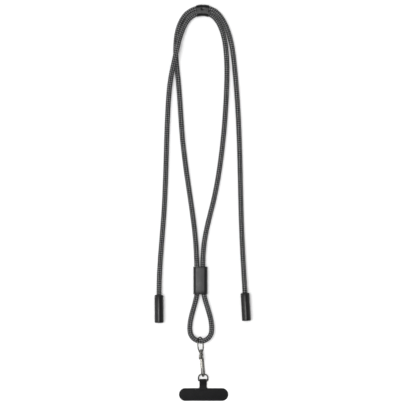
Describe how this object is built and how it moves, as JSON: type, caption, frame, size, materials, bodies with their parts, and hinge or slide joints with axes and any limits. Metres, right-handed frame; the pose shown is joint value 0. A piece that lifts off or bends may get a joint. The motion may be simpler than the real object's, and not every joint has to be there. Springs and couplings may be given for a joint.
{
  "type": "charging cable lanyard",
  "caption": "Wearable charging cable lanyard: a braided cord doubled into a neck loop, with a slider, neck sleeve, capped plugs, swivel clasp, D-ring and phone tether patch.",
  "frame": {"origin": "on the surface that the lanyard lies on, under the middle of its bounding box", "axes": "+Y up the neck loop to the neck sleeve, +X to the right as the picture shows it, +Z out of the surface"},
  "size_m": [0.1205, 0.495, 0.013],
  "materials": {
    "braid": "two-tone grey and black polyester braid, matt",
    "satin_metal": "satin black",
    "moulded_plastic": "black, moulded",
    "plated_metal": "nickel plated, polished",
    "coated_fabric": "black coated nylon, matt"
  },
  "bodies": {
    "lanyard": {"cord": "braid", "slider": "satin_metal", "neck_clip": "satin_metal", "plug_left": "moulded_plastic", "plug_right": "moulded_plastic", "clasp_eye": "plated_metal"},
    "cap_left": {"cap_left": "satin_metal"},
    "cap_right": {"cap_right": "satin_metal"},
    "clasp": {"clasp_hook": "plated_metal", "clasp_rivet": "plated_metal", "d_ring": "plated_metal", "tether_patch": "coated_fabric"},
    "gate": {"clasp_gate": "plated_metal"}
  },
  "joints": [
    {"name": "cap_left_pull", "type": "slide", "parent": "lanyard", "child": "cap_left", "axis": [0.0087, -1, 0], "range_m": [0, 0.036]},
    {"name": "cap_right_pull", "type": "slide", "parent": "lanyard", "child": "cap_right", "axis": [0.0558, -0.9984, 0], "range_m": [0, 0.036]},
    {"name": "clasp_swivel", "type": "hinge", "parent": "lanyard", "child": "clasp", "pos_m": [-0.002, -0.1881, 0.00555], "axis": [0.0872, -0.9962, 0], "continuous": true},
    {"name": "gate_pivot", "type": "hinge", "parent": "clasp", "child": "gate", "pos_m": [-0.00245, -0.19356, 0.0084], "axis": [0.9474, 0.0829, 0.309], "range_deg": [0, 20], "stiffness_Nm_per_rad": 0.002, "springref_deg": -5.73}
  ]
}
